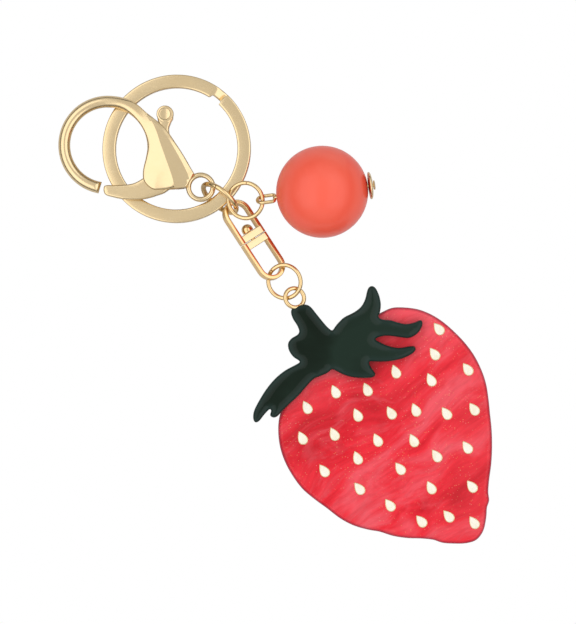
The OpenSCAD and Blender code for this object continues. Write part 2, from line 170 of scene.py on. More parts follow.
def make_piece(name, verts, faces, finish, body, slot, stands_for=(), place=None, sharp=38):
    """A mesh in mm, put in its place, that rides on a body."""
    place = place or Matrix.Identity(4)
    mesh = bpy.data.meshes.new(name)
    mesh.from_pydata([place @ Vector(v) * MM for v in verts], [], [list(f) for f in faces])
    solid = bmesh.new()
    solid.from_mesh(mesh)
    bmesh.ops.remove_doubles(solid, verts=solid.verts, dist=1e-7)
    bmesh.ops.recalc_face_normals(solid, faces=solid.faces)
    for face in solid.faces:
        face.smooth = True
    solid.to_mesh(mesh)
    solid.free()
    mesh.set_sharp_from_angle(angle=math.radians(sharp))
    piece = bpy.data.objects.new(name, mesh)
    bpy.context.scene.collection.objects.link(piece)
    mesh.materials.append(finish)
    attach(piece, body)
    if stands_for:
        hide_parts(*stands_for)
    return piece


def mark_depth(piece, loop):
    """Keeps with each point how many mm it lies in from the outline."""
    flat = np.array([(v.co.x / MM, v.co.y / MM) for v in piece.data.vertices])
    depth = piece.data.attributes.new("depth_in", "FLOAT", "POINT")
    depth.data.foreach_set("value", gap_to(flat, loop).astype(np.float32))


def put(tree, kind, inputs=None, **settings):
    """One node, with its settings, and its inputs set or linked."""
    made = tree.nodes.new(kind)
    for key, value in settings.items():
        setattr(made, key, value)
    for key, value in (inputs or {}).items():
        if isinstance(value, bpy.types.NodeSocket):
            tree.links.new(value, made.inputs[key])
        else:
            made.inputs[key].default_value = value
    return made


def work(tree, how, *values):
    """A sum, product or comparison of sockets and numbers."""
    return put(tree, "ShaderNodeMath", dict(enumerate(values)), operation=how).outputs[0]


def noise(tree, where, scale, detail, output="Fac", **more):
    """Noise over the surface; more sets its other inputs."""
    return put(tree, "ShaderNodeTexNoise", {"Vector": where, "Scale": scale, "Detail": detail,
                                            **more}).outputs[output]


def spread(tree, value, start, end, low=0.0, high=1.0, **settings):
    """A value that goes from start to end, turned into one from low to high."""
    return put(tree, "ShaderNodeMapRange", {"Value": value, "From Min": start, "From Max": end,
                                            "To Min": low, "To Max": high}, **settings).outputs[0]


def new_finish(name, **sockets):
    """A material with one Principled shader; numbers and colours go on its own sockets."""
    finish = bpy.data.materials.new(name)
    finish.use_nodes = True
    tree = finish.node_tree
    shader = tree.nodes["Principled BSDF"]
    for key, value in sockets.items():
        shader.inputs[key.replace("_", " ")].default_value = value
    return finish, tree, shader


def shades(tree, value, *stops):
    """A colour ramp: each stop is a place from 0 to 1 and a colour."""
    ramp = put(tree, "ShaderNodeValToRGB", {"Fac": value})
    band = ramp.color_ramp
    while len(band.elements) < len(stops):
        band.elements.new(0.5)
    for element, (at, colour) in zip(band.elements, stops):
        element.position = at
        element.color = (*colour, 1)
    return ramp.outputs["Color"]


def group_of(name, inputs, outputs):
    """An empty node group with those sockets, and its two end nodes."""
    group = bpy.data.node_groups.new(name, "ShaderNodeTree")
    for key, kind, value in inputs:
        socket = group.interface.new_socket(name=key, in_out="INPUT", socket_type=kind)
        socket.default_value = value
    for key, kind in outputs:
        group.interface.new_socket(name=key, in_out="OUTPUT", socket_type=kind)
    return group, group.nodes.new("NodeGroupInput"), group.nodes.new("NodeGroupOutput")


FLOAT, COLOUR = "NodeSocketFloat", "NodeSocketColor"

# Handling marks that every finish carries: hairline scratches and a soft unevenness.
marks, into, out = group_of(
    "handling_marks",
    [("Scratch size", FLOAT, 900.0), ("Scratches", FLOAT, 0.5), ("Waviness size", FLOAT, 140.0),
     ("Waviness", FLOAT, 0.5), ("Polish", FLOAT, 0.1), ("Polish spread", FLOAT, 0.05)],
    [("Height", FLOAT), ("Roughness", FLOAT)])
where = put(marks, "ShaderNodeTexCoord").outputs["Object"]
lines = []
for turn, squeeze in ((0.5, 9.0), (-1.1, 13.0)):
    turned = put(marks, "ShaderNodeMapping", {"Vector": where, "Rotation": (0.2, 0.1, turn),
                                              "Scale": (1.0, squeeze, 3.0)})
    hair = noise(marks, turned.outputs[0], into.outputs["Scratch size"], 3.0, Roughness=0.6)
    lines.append(spread(marks, hair, 0.6, 0.72))
scratch = work(marks, "MULTIPLY", work(marks, "MAXIMUM", *lines), into.outputs["Scratches"])
wavy = noise(marks, where, into.outputs["Waviness size"], 2.0)
wave = work(marks, "MULTIPLY", wavy, into.outputs["Waviness"])
marks.links.new(work(marks, "SUBTRACT", wave, scratch), out.inputs["Height"])
uneven = work(marks, "MULTIPLY_ADD", wavy, into.outputs["Polish spread"], into.outputs["Polish"])
marks.links.new(work(marks, "MULTIPLY_ADD", scratch, 0.12, uneven), out.inputs["Roughness"])


def add_marks(tree, shader, depth_mm, strength, **values):
    """Scratches and waviness on a finish."""
    made = put(tree, "ShaderNodeGroup", node_tree=marks)
    for key, value in values.items():
        made.inputs[key.replace("_", " ")].default_value = value
    bump = put(tree, "ShaderNodeBump", {"Height": made.outputs["Height"], "Strength": strength,
                                        "Distance": depth_mm * MM})
    tree.links.new(bump.outputs[0], shader.inputs["Normal"])
    tree.links.new(made.outputs["Roughness"], shader.inputs["Roughness"])


# For the cast sheets' tumbled edges: a mask that is 1 on the rim and 0 further in. It carries
# painted light: painted shade along the berry's edge and a painted reflection along the leaf's
# edge.
rim_group, into, out = group_of(
    "rim_for_painted_light", [("Width", FLOAT, 0.8), ("Raggedness", FLOAT, 0.2)], [("Rim", FLOAT)])
depth_in = put(rim_group, "ShaderNodeAttribute", attribute_name="depth_in").outputs["Fac"]
where = put(rim_group, "ShaderNodeTexCoord").outputs["Object"]
ragged = work(rim_group, "MULTIPLY_ADD", noise(rim_group, where, 420.0, 3.0),
              into.outputs["Raggedness"], depth_in)
rim = spread(rim_group, ragged, 0.0, into.outputs["Width"], 1.0, 0.0,
             interpolation_type="SMOOTHSTEP")
rim_group.links.new(rim, out.inputs["Rim"])


def add_rim_painted_light(tree, width, raggedness):
    """The rim mask for painted edge shade or reflection, that many mm wide."""
    made = put(tree, "ShaderNodeGroup", node_tree=rim_group)
    made.inputs["Width"].default_value = width
    made.inputs["Raggedness"].default_value = raggedness
    return made.outputs["Rim"]


def blend_colours(tree, amount, first, second, how="MIX"):
    """The second colour over the first, by the amount; each is a socket or a value."""
    made = tree.nodes.new("ShaderNodeMix")
    made.data_type = "RGBA"
    made.blend_type = how
    for at, value in ((0, amount), (6, first), (7, second)):
        socket = made.inputs[at]
        if isinstance(value, bpy.types.NodeSocket):
            tree.links.new(value, socket)
        else:
            socket.default_value = value if isinstance(value, float) else (*value, 1)
    return made.outputs[2]


berry_finish, tree, shader = new_finish("berry_marbled_acetate", Specular_IOR_Level=0.22, IOR=1.49)
where = put(tree, "ShaderNodeTexCoord").outputs["Object"]
# The streaks run up to the right; folds bend them into swirls.
turned = put(tree, "ShaderNodeMapping", {"Vector": where, "Rotation": (0, 0, math.radians(-33)),
                                         "Location": (0.021, 0.013, 0)})
folds = noise(tree, turned.outputs[0], 38.0, 2.0, "Color")
folds = put(tree, "ShaderNodeVectorMath", {0: folds, 1: (0.5, 0.5, 0.5)}, operation="SUBTRACT")
folds = put(tree, "ShaderNodeVectorMath", {0: folds.outputs[0], "Scale": 0.016}, operation="SCALE")
bent = put(tree, "ShaderNodeVectorMath", {0: turned.outputs[0], 1: folds.outputs[0]},
           operation="ADD")
drawn = put(tree, "ShaderNodeMapping", {"Vector": bent.outputs[0], "Scale": (0.34, 1.0, 1.0)})
clouds = noise(tree, drawn.outputs[0], 92.0, 5.0, Roughness=0.55, Distortion=0.6)
# The colour is paler towards the right side.
across = put(tree, "ShaderNodeSeparateXYZ", {"Vector": where}).outputs["X"]
clouds = work(tree, "ADD", clouds, spread(tree, across, 8 * MM, 46 * MM, -0.02, 0.06))
body_colour = shades(tree, clouds, (0.36, (0.50, 0.000, 0.007)), (0.46, (0.72, 0.005, 0.018)),
                     (0.56, (0.90, 0.024, 0.042)), (0.70, (0.95, 0.100, 0.130)))
veils = noise(tree, drawn.outputs[0], 150.0, 6.0, Roughness=0.62, Distortion=1.4)
body_colour = blend_colours(tree, spread(tree, veils, 0.54, 0.76, 0.0, 0.45), body_colour,
                            (0.82, 0.16, 0.19))
pearl = spread(tree, noise(tree, where, 26.0, 1.0), 0.5, 0.75, 0.0, 0.22)
body_colour = blend_colours(tree, pearl, body_colour, (0.84, 0.12, 0.14))
# Fine fibres run with the streaks.
fine = put(tree, "ShaderNodeMapping", {"Vector": bent.outputs[0], "Scale": (0.10, 1.0, 1.0)})
fibres = noise(tree, fine.outputs[0], 1300.0, 4.0, Roughness=0.6)
fibres = shades(tree, fibres, (0.34, (0.62, 0.50, 0.52)), (0.62, (1.0, 1.0, 1.0)))
body_colour = blend_colours(tree, 0.36, body_colour, fibres, "MULTIPLY")
# Painted shade: the colour darkens along the rounded rim, where the edge turns away from the light.
body_colour = blend_colours(tree, add_rim_painted_light(tree, 0.95, 0.3), body_colour, (0.33, 0.03, 0.06))
# Glitter: one flake to a cell, and only some cells hold one.
cells = put(tree, "ShaderNodeTexVoronoi", {"Vector": where, "Scale": 3100.0})
lit = put(tree, "ShaderNodeSeparateColor", {"Color": cells.outputs["Color"]})
some = work(tree, "GREATER_THAN", lit.outputs[0], 0.90)
small = work(tree, "LESS_THAN", cells.outputs["Distance"], 0.33)
drift = spread(tree, noise(tree, where, 75.0, 2.0), 0.40, 0.62)
flake = work(tree, "MULTIPLY", work(tree, "MULTIPLY", some, small), drift)
flake_colour = shades(tree, lit.outputs[1], (0.0, (0.95, 0.42, 0.10)), (0.5, (1.0, 0.72, 0.30)),
                      (1.0, (1.0, 0.55, 0.62)))
flake = work(tree, "MULTIPLY", flake, 0.32)
tree.links.new(blend_colours(tree, flake, body_colour, flake_colour), shader.inputs["Base Color"])
add_marks(tree, shader, 0.02, 0.25, Scratches=0.35, Waviness_size=90.0, Waviness=1.0,
          Polish=0.055, Polish_spread=0.06)

BERRY_TOP, BERRY_EDGE, BERRY_BACK_EDGE = 3.4, 1.15, 0.6
EDGE_STEPS = [(k / 8) ** 1.5 for k in range(1, 9)]
berry_loop = smooth_loop(cad_outline("berry_plate", 0.0), 3)
flat, faces = net(berry_loop, [BERRY_EDGE * s for s in EDGE_STEPS], 1.3)
depth = gap_to(flat, berry_loop)
top = BERRY_TOP - rounded(depth, BERRY_EDGE)
low = rounded(depth, BERRY_BACK_EDGE)
verts, solid = two_sided(flat, faces, berry_loop, top, low)
berry = make_piece("berry_slab", verts, solid, berry_finish, "charm", "berry", ["berry_plate"],
                   sharp=60)
mark_depth(berry, berry_loop)


# --- Leaf plate ----------------------------------------------------------------------
# The calyx and stem in one piece of near-black green acetate, 2.8 mm thick, glued on the
# berry. Its edge is tumbled rounder than the berry's, so the face looks pillowed.

LEAF_TOP, LEAF_EDGE = 6.2, 2.2
leaf_finish, tree, shader = new_finish("leaf_dark_green_acetate", Specular_IOR_Level=0.17,
                                       IOR=1.49)
where = put(tree, "ShaderNodeTexCoord").outputs["Object"]
cloud = noise(tree, where, 55.0, 4.0, Roughness=0.5, Distortion=0.5)
# Painted reflection: the colour is darker on the stem's side and lighter away from it, where the
# face catches more light.
across = put(tree, "ShaderNodeSeparateXYZ", {"Vector": where}).outputs["X"]
cloud = work(tree, "ADD", cloud, spread(tree, across, 11.5 * MM, 15 * MM, -0.09, 0.07))
green = shades(tree, cloud, (0.35, (0.0022, 0.0090, 0.0035)), (0.52, (0.0050, 0.0150, 0.0080)),
               (0.66, (0.0100, 0.0250, 0.0160)))
# Painted reflection: a lighter band along the pillowed edge stands in for the side panels seen in
# it.
green = blend_colours(tree, add_rim_painted_light(tree, LEAF_EDGE, 0.5), green, (0.016, 0.036, 0.030))
tree.links.new(green, shader.inputs["Base Color"])
add_marks(tree, shader, 0.02, 0.22, Scratches=0.3, Waviness_size=70.0, Waviness=1.2,
          Polish=0.06, Polish_spread=0.05)

leaf_loop = smooth_loop(cad_outline("leaf_plate", 3.4), 2)
flat, faces = net(leaf_loop, [LEAF_EDGE * s for s in EDGE_STEPS], 0.6)
depth = gap_to(flat, leaf_loop)
slope = 0.6 * np.clip(1 - depth / LEAF_EDGE, 0, 1) ** 1.4
top = LEAF_TOP - slope - rounded(depth, 0.5)
low = BERRY_TOP + rounded(depth, 0.3)
verts, solid = two_sided(flat, faces, leaf_loop, top, low)
leaf = make_piece("leaf_plate_pillowed", verts, solid, leaf_finish, "charm", "leaf",
                  ["leaf_plate"], sharp=60)
mark_depth(leaf, leaf_loop)


# --- Seeds ---------------------------------------------------------------------------
# Twenty-nine drops of cream enamel, each held in a thin gold-plated rim that is pressed
# into a pocket of the berry. The enamel stands a little domed above its rim.

SEEDS = [  # x, y of the middle in mm, then the lean to the left in degrees
    (38.6, -4.5, 38), (37.6, -10.4, 36), (45.4, -14.0, 36), (28.5, -14.6, 22), (36.8, -16.5, 26),
    (14.3, -19.3, 25), (21.8, -18.8, 24), (7.6, -23.0, 28), (19.5, -24.8, 25), (27.4, -24.3, 30),
    (33.2, -23.6, 24), (40.4, -24.4, 34), (46.9, -23.4, 34), (6.5, -30.2, 26), (14.0, -29.3, 26),
    (24.2, -30.7, 26), (32.7, -30.8, 26), (45.3, -32.4, 34), (19.5, -34.9, 22), (38.1, -34.4, 34),
    (29.5, -37.4, 36), (11.6, -37.9, 34), (19.9, -42.1, 38), (36.8, -41.9, 28), (46.4, -41.6, 38),
    (27.1, -46.0, 36), (34.5, -49.8, 40), (40.9, -48.6, 40), (46.9, -50.1, 34)]
SEED_LONG, SEED_WIDE, RIM_WIDE = 3.5, 2.3, 0.18
# The drawing's middle lies a little off the middle of the whole outline.
SHEET_MIDDLE = Vector((0.2, 0.05, 0.0))


def placed(x, y, z, *turns):
    """Where a piece lies: its middle on the drawing, then its turns, as (axis, degrees)."""
    place = Matrix.Translation(Vector((x, y, z)) - SHEET_MIDDLE)
    for axis, degrees in turns:
        place = place @ Matrix.Rotation(math.radians(degrees), 4, axis)
    return place


def skin(rows, wide, closed=False):
    """The faces over rows of points that each close on themselves."""
    return [(k * wide + j, ((k + 1) % rows) * wide + j,
             ((k + 1) % rows) * wide + (j + 1) % wide, k * wide + (j + 1) % wide)
            for k in range(rows if closed else rows - 1) for j in range(wide)]


def joined(*parts):
    """Several (verts, faces) as one."""
    verts, faces = [], []
    for part_verts, part_faces in parts:
        faces += [tuple(i + len(verts) for i in f) for f in part_faces]
        verts += [tuple(v) for v in part_verts]
    return verts, faces


def drop_loop(long, wide, steps=48):
    """A drop's outline, its point up."""
    turn = [2 * math.pi * k / steps for k in range(steps)]
    return np.array([(-wide / 2 / 0.77 * math.sin(a) * math.sin(a / 2), long / 2 * math.cos(a))
                     for a in turn])


# Gold plate over bright nickel: patches a shade warmer or paler, and a thin spot here and there.
plate, into, out = group_of(
    "gold_plating",
    [("Tint", COLOUR, (0.80, 0.62, 0.36, 1)), ("Thin plate", COLOUR, (0.80, 0.67, 0.45, 1)),
     ("Deep", COLOUR, (0.78, 0.58, 0.30, 1)), ("Patch size", FLOAT, 160.0), ("Wear", FLOAT, 0.3)],
    [("Colour", COLOUR)])
where = put(plate, "ShaderNodeTexCoord").outputs["Object"]
patch = noise(plate, where, into.outputs["Patch size"], 4.0, Roughness=0.6)
colour = blend_colours(plate, spread(plate, patch, 0.5, 0.8, 0.0, 0.55), into.outputs["Tint"],
                       into.outputs["Deep"])
thin = spread(plate, noise(plate, where, 950.0, 5.0, Roughness=0.7), 0.52, 0.74)
thin = work(plate, "MULTIPLY", thin, into.outputs["Wear"])
plate.links.new(blend_colours(plate, thin, colour, into.outputs["Thin plate"]),
                out.inputs["Colour"])


def gold_finish(name, wear, patch_size, warmth=0.0, **values):
    """Warmth goes from the pale plate of the big castings, 0, to the redder one of the wire, 1."""
    finish, tree, shader = new_finish(name, Metallic=1.0)
    tint = (0.81 + 0.05 * warmth, 0.63 - 0.02 * warmth, 0.37 - 0.07 * warmth, 1)
    deep = (0.80 + 0.02 * warmth, 0.58 - 0.10 * warmth, 0.30 - 0.10 * warmth, 1)
    made = put(tree, "ShaderNodeGroup", {"Tint": tint, "Deep": deep, "Wear": wear,
                                         "Patch size": patch_size}, node_tree=plate)
    tree.links.new(made.outputs["Colour"], shader.inputs["Base Color"])
    add_marks(tree, shader, 0.010, 0.22, **values)
    return finish


rim_gold = gold_finish("gold_seed_rims", 0.3, 300.0, Scratches=0.3, Polish=0.16, Polish_spread=0.1)
enamel, tree, shader = new_finish("seed_cream_enamel", Specular_IOR_Level=0.4, IOR=1.5)
where = put(tree, "ShaderNodeTexCoord").outputs["Object"]
milk = shades(tree, noise(tree, where, 700.0, 3.0), (0.3, (0.95, 0.88, 0.68)),
              (0.55, (0.99, 0.94, 0.80)), (0.8, (1.0, 0.98, 0.88)))
tree.links.new(milk, shader.inputs["Base Color"])
add_marks(tree, shader, 0.015, 0.3, Scratches=0.25, Waviness_size=500.0, Waviness=0.8,
          Polish=0.12, Polish_spread=0.1)

rim_section = [(-0.5, -0.55), (-0.5, 0.03), (-0.32, 0.085), (0.0, 0.10), (0.32, 0.085), (0.5, 0.03),
               (0.5, -0.55)]
middle_line = drop_loop(SEED_LONG - 1.3 * RIM_WIDE, SEED_WIDE - RIM_WIDE)
enamel_loop = drop_loop(SEED_LONG - 2.4 * RIM_WIDE, SEED_WIDE - 1.9 * RIM_WIDE)
flat, faces = net(enamel_loop, [0.12, 0.3, 0.55], 0.35)
depth = gap_to(flat, enamel_loop)
dome = BERRY_TOP + 0.02 + 0.15 * (1 - np.exp(-depth / 0.28))
enamel_one = two_sided(flat, faces, enamel_loop, dome, np.full(len(flat), BERRY_TOP - 0.5))
along = np.roll(middle_line, -1, 0) - np.roll(middle_line, 1, 0)
along /= np.linalg.norm(along, axis=1)[:, None]
outward = np.stack([along[:, 1], -along[:, 0]], 1)
rim_one = ([(x + ox * a * RIM_WIDE, y + oy * a * RIM_WIDE, BERRY_TOP + b)
            for (x, y), (ox, oy) in zip(middle_line, outward) for a, b in rim_section],
           skin(len(middle_line), len(rim_section), closed=True))
for name, (verts, solid), finish, slot, node in (
        ("seed_rims_gold", rim_one, rim_gold, "gold", "seed_rims"),
        ("seed_enamel_drops", enamel_one, enamel, "cream", "seed_inlays")):
    every = []
    for x, y, lean in SEEDS:
        place = placed(x, y, 0, ("Z", lean))
        every.append(([place @ Vector(v) for v in verts], solid))
    make_piece(name, *joined(*every), finish, "charm", slot, [node])


# --- Screw eye -----------------------------------------------------------------------
# A closed eye of 1 mm gold-plated wire with a threaded shank, screwed and glued into the
# end of the stem. Only the eye shows.


def sweep(path, section, closed=False, nose=0.0, taper=0.0):
    """Draws a section along a flat path. Each section point is (sideways, up). An open end
    can close in a nose: that long, shrinking to the taper's share of the section."""
    path = [Vector(p) for p in path]
    rows = []
    last = len(path) - 1
    for k, here in enumerate(path):
        before = path[k - 1] if k or closed else here
        after = path[(k + 1) % len(path)] if k < last or closed else here
        ahead = (after - before).normalized()
        side = Vector((-ahead.y, ahead.x, 0)).normalized()
        up = ahead.cross(side) * -1 if abs(ahead.z) > 1e-6 else Vector((0, 0, 1))
        up = up if up.z > 0 else -up
        rows.append((here, ahead, side, up, 1.0))
    if nose and not closed:
        for end in (0, last):
            here, ahead, side, up, _ = rows[0 if end == 0 else -1]
            for k in range(1, 5):
                turn = math.radians(22 * k)
                out_by = nose * math.sin(turn) * (-1 if end == 0 else 1)
                size = taper + (1 - taper) * math.cos(turn)
                row = (here + ahead * out_by, ahead, side, up, size)
                rows = [row] + rows if end == 0 else rows + [row]
    wide = len(section)
    verts = [here + side * a * size + up * b * size
             for here, _, side, up, size in rows for a, b in section]
    faces = skin(len(rows), wide, closed)
    if not closed:
        faces += [tuple(range(wide)), tuple(len(verts) - wide + j for j in reversed(range(wide)))]
    return verts, faces


def round_section(radius, sides=24):
    """The section of a round wire."""
    turns = [2 * math.pi * k / sides for k in range(sides)]
    return [(radius * math.cos(a), radius * math.sin(a)) for a in turns]


def arc(radius, start, end, steps, middle=(0.0, 0.0)):
    """Points round an arc, from and to those degrees."""
    turns = [math.radians(start + (end - start) * k / steps) for k in range(steps + 1)]
    return [(middle[0] + radius * math.cos(a), middle[1] + radius * math.sin(a), 0.0)
            for a in turns]


wire_gold = gold_finish("gold_wire", 0.3, 210.0, warmth=0.8, Scratch_size=700.0, Scratches=0.45,
                        Waviness_size=260.0, Waviness=0.6, Polish=0.13, Polish_spread=0.09)
screw_place = placed(4.74, 2.74, 4.8, ("Z", 128.3), ("X", 19.7))
eye = sweep(arc(2.3, 0, 352, 44), round_section(0.5), closed=True)
shank = sweep([(-2.1 - 0.4 * k, 0, 0) for k in range(17)], round_section(0.6), nose=0.3)
make_piece("screw_eye_wire", *joined(eye, shank), wire_gold, "charm", "gold", ["screw_eye"],
           screw_place)


# --- Round rings ---------------------------------------------------------------------
# Three rings bent from round gold-plated wire and closed end to end with pliers: the link
# ring that everything hangs on, the bead's ring and the charm's ring. Each shows its cut.


def round_ring(node, body, radius, wire_radius, cut_at, place):
    """A ring whose wire ends are eased and meet at that many degrees."""
    nose, half_cut = 0.07, 0.04
    gap = math.degrees(half_cut / radius) + math.degrees(nose / radius)
    path = arc(radius, cut_at + gap, cut_at + 360 - gap, 88)
    ring = sweep(path, round_section(wire_radius), nose=nose, taper=0.82)
    make_piece(node + "_wire", *ring, wire_gold, body, "gold", [node], place)


round_ring("charm_ring", "charm_ring", 3.95, 0.5, 110,
           placed(2.34, 6.55, 4.74, ("Z", 29.7), ("Y", -17.9)))
round_ring("bead_ring", "bead_ring", 4.15, 0.5, 60,
           placed(-6.77, 25.49, 8.23, ("Z", 24.8), ("Y", -16)))
# The link ring leans up off the table, on its own lowest wire.
LINK_R, LINK_WIRE, LINK_LEAN = 4.75, 0.6, 68
link_height = LINK_WIRE + LINK_R * math.sin(math.radians(LINK_LEAN)) + 0.02
round_ring("link_ring", "hub", LINK_R, LINK_WIRE, 118,
           placed(-12.85, 26.1, link_height, ("Z", -38.5), ("X", LINK_LEAN)))


# --- Swivel --------------------------------------------------------------------------
# Two U bails folded from 1 by 1.8 mm gold-plated strip, with slant-faced cross bars. A domed
# rivet, staked in the lower cross bar, lets the upper bail turn on it.

strip_gold = gold_finish("gold_strip", 0.25, 150.0, warmth=1.0, Scratch_size=800.0, Scratches=0.5,
                         Waviness_size=180.0, Waviness=0.5, Polish=0.12, Polish_spread=0.08)
bar_gold = gold_finish("gold_cross_bars", 0.25, 150.0, Scratch_size=800.0, Scratches=0.4,
                       Waviness_size=180.0, Waviness=0.5, Polish=0.14, Polish_spread=0.08)
swivel_place = placed(-6.6, 19.0, 4.67, ("Z", -57), ("X", -25.8))


def eased_section(wide, thick, ease, steps=3, across=None):
    """A strip's section with rounded corners; across is how far they reach in over its face."""
    across = across or ease
    out = []
    for cx, cy, start in ((1, 1, 0), (-1, 1, 90), (-1, -1, 180), (1, -1, 270)):
        for k in range(steps + 1):
            a = math.radians(start + 90 * k / steps)
            out.append((cx * (wide / 2 - across) + across * math.cos(a),
                        cy * (thick / 2 - ease) + ease * math.sin(a)))
    return out


def lathe(profile, steps=48, bored=False):
    """A turned piece along +X from (x, radius) pairs. Bored, its ends join through the middle."""
    verts, faces = [], []
    for x, r in profile:
        for k in range(steps):
            a = 2 * math.pi * k / steps
            verts.append((x, max(r, 1e-4) * math.cos(a), max(r, 1e-4) * math.sin(a)))
    for j in range(len(profile) - 1):
        for k in range(steps):
            faces.append((j * steps + k, j * steps + (k + 1) % steps,
                          (j + 1) * steps + (k + 1) % steps, (j + 1) * steps + k))
    last = (len(profile) - 1) * steps
    if bored:
        faces += [(k, (k + 1) % steps, last + (k + 1) % steps, last + k) for k in range(steps)]
    else:
        faces += [tuple(reversed(range(steps))), tuple(last + k for k in range(steps))]
    return verts, faces


def cut_away(piece, verts, faces, place):
    """Takes a solid out of a piece."""
    tool_mesh = bpy.data.meshes.new("tool")
    tool_mesh.from_pydata([place @ Vector(v) * MM for v in verts], [], [list(f) for f in faces])
    solid = bmesh.new()
    solid.from_mesh(tool_mesh)
    bmesh.ops.recalc_face_normals(solid, faces=solid.faces)
    solid.to_mesh(tool_mesh)
    solid.free()
    tool = bpy.data.objects.new("tool", tool_mesh)
    bpy.context.scene.collection.objects.link(tool)
    cut = piece.modifiers.new("cut", "BOOLEAN")
    cut.operation, cut.solver, cut.object = "DIFFERENCE", "EXACT", tool
    bpy.context.view_layer.update()
    shown = piece.evaluated_get(bpy.context.evaluated_depsgraph_get())
    result = bpy.data.meshes.new_from_object(shown)
    piece.modifiers.clear()
    piece.data = result
    bpy.data.objects.remove(tool)


LEG_OUT, BAIL_DEEP, BAR_DEEP, BAR_HALF = 3.0, 1.8, 1.7, 2.75


def bail(name, node, bend_at, way, leg_end, bar_from, bar_to, hole):
    """One U bail. Way is 1 when it bends to the right, and all the rest is along its length,
    in mm, but for the radius of the hole through its bar."""
    bend = arc(LEG_OUT, -90 if way > 0 else 270, 90, 30, (bend_at, 0))
    legs = [leg_end + (bend_at - leg_end) * k / 8 for k in range(8)]
    path = [(x, -LEG_OUT, 0) for x in legs] + bend + [(x, LEG_OUT, 0) for x in reversed(legs)]
    strap = sweep(path, eased_section(1.0, BAIL_DEEP, 0.16), nose=0.08, taper=0.9)
    make_piece(name, *strap, strip_gold, node, "gold", [node], swivel_place)
    bar_middle = (bar_from + bar_to) / 2
    verts, faces = sweep([(bar_middle, -BAR_HALF + 2 * BAR_HALF * k / 10, 0) for k in range(11)],
                         eased_section(bar_to - bar_from, BAR_DEEP, 0.18))
    # The bar's upper face slants across the bail.
    verts = [(x, y, z + (0.2 * y - 0.08 if z > 0 else 0)) for x, y, z in verts]
    bar = make_piece(name + "_bar", verts, faces, bar_gold, node, "gold", (), swivel_place)
    cut_away(bar, *lathe([(bar_from - 1, hole), (bar_to + 1, hole)]), swivel_place)


bail("swivel_top_bail", "swivel_top", bend_at=-3.9, way=-1, leg_end=2.75, bar_from=1.0, bar_to=2.8,
     hole=0.6)
bail("swivel_low_bail", "swivel_bottom", bend_at=10.3, way=1, leg_end=3.0, bar_from=2.95,
     bar_to=4.7, hole=0.56)
RIVET_R, RIVET_SHANK, HEAD_END = 1.35, 0.55, 0.92
dome = [(HEAD_END - 0.55 - RIVET_R * math.sin(math.radians(a)), RIVET_R * math.cos(math.radians(a)))
        for a in range(88, -1, -8)]
rivet = lathe(dome + [(HEAD_END - 0.1, RIVET_R), (HEAD_END, RIVET_R - 0.1), (HEAD_END, RIVET_SHANK),
                      (4.66, RIVET_SHANK), (4.72, 0.5)])
make_piece("swivel_rivet_domed", *rivet, strip_gold, "swivel_bottom", "gold", ["swivel_rivet"],
           swivel_place)


# --- Bead on its head pin ------------------------------------------------------------
# A 21.5 mm coral bead with a pearl lacquer, threaded on a gold-plated head pin. The pin's
# left end is bent into a loop; a domed cap sits between the bead and the pin's flat head.

bead_place = placed(11.15, 27.45, 10.77, ("Z", 7.2), ("Y", -5.9))
BEAD_R = 10.75
pin_path = ([(-11.25, -0.56 - 0.05 * k, 0) for k in range(3)]
            + [(-11.25, -0.85, 0)] + arc(0.6, 0, -90, 6, (-11.85, -0.85))[1:]
            + [(-12.5, -1.45, 0), (-13.2, -1.45, 0)] + arc(1.45, -90, -270, 28, (-13.83, 0))
            + [(-13.2, 1.45, 0), (-12.5, 1.45, 0)] + arc(0.6, 90, 0, 6, (-11.85, 0.85))
            + [(-11.25, 0.6, 0)] + arc(0.35, 180, 270, 5, (-10.9, 0.35))
            + [(-10.9 + 1.15 * k, 0, 0) for k in range(1, 21)])
pin = sweep(pin_path, round_section(0.42, 20), nose=0.1, taper=0.8)
pin_head = lathe([(12.08, 0.4), (12.1, 1.0), (12.15, 1.09), (12.35, 1.1), (12.44, 1.02),
                  (12.48, 0.8), (12.48, 0.3)])
make_piece("head_pin_wire", *pin, wire_gold, "head_pin", "gold", ["head_pin"],
           bead_place @ Matrix.Rotation(math.radians(-56.5), 4, "X"))
make_piece("head_pin_head", *pin_head, wire_gold, "head_pin", "gold", (), bead_place)

coral, tree, shader = new_finish("bead_coral_pearl", Specular_IOR_Level=0.32, IOR=1.5,
                                 Coat_Weight=0.12, Coat_Roughness=0.12)
where = put(tree, "ShaderNodeTexCoord").outputs["Object"]
swirl = put(tree, "ShaderNodeMapping", {"Vector": where, "Scale": (1.0, 0.45, 1.0),
                                        "Rotation": (0.3, 0.2, 0.4)})
pearl = noise(tree, swirl.outputs[0], 95.0, 4.0, Distortion=0.8)
tree.links.new(shades(tree, pearl, (0.3, (0.98, 0.108, 0.062)), (0.5, (1.0, 0.130, 0.076)),
                      (0.72, (1.00, 0.155, 0.098))), shader.inputs["Base Color"])
add_marks(tree, shader, 0.02, 0.2, Scratches=0.25, Waviness_size=60.0, Waviness=0.7,
          Polish=0.27, Polish_spread=0.06)
bore = math.asin(0.48 / BEAD_R)
turns = [bore + (math.pi - 2 * bore) * k / 96 for k in range(97)]
bead_profile = ([(-BEAD_R * math.cos(bore) + 0.25, 0.46)]
                + [(-BEAD_R * math.cos(a), BEAD_R * math.sin(a)) for a in turns]
                + [(BEAD_R * math.cos(bore) - 0.25, 0.46)])
make_piece("coral_bead", *lathe(bead_profile, 128, bored=True), coral, "bead", "coral", ["bead"],
           bead_place, sharp=60)

cap_gold = gold_finish("gold_cap", 0.4, 320.0, Scratch_size=1000.0, Scratches=0.4,
                       Waviness_size=500.0, Waviness=0.4, Polish=0.17, Polish_spread=0.1)
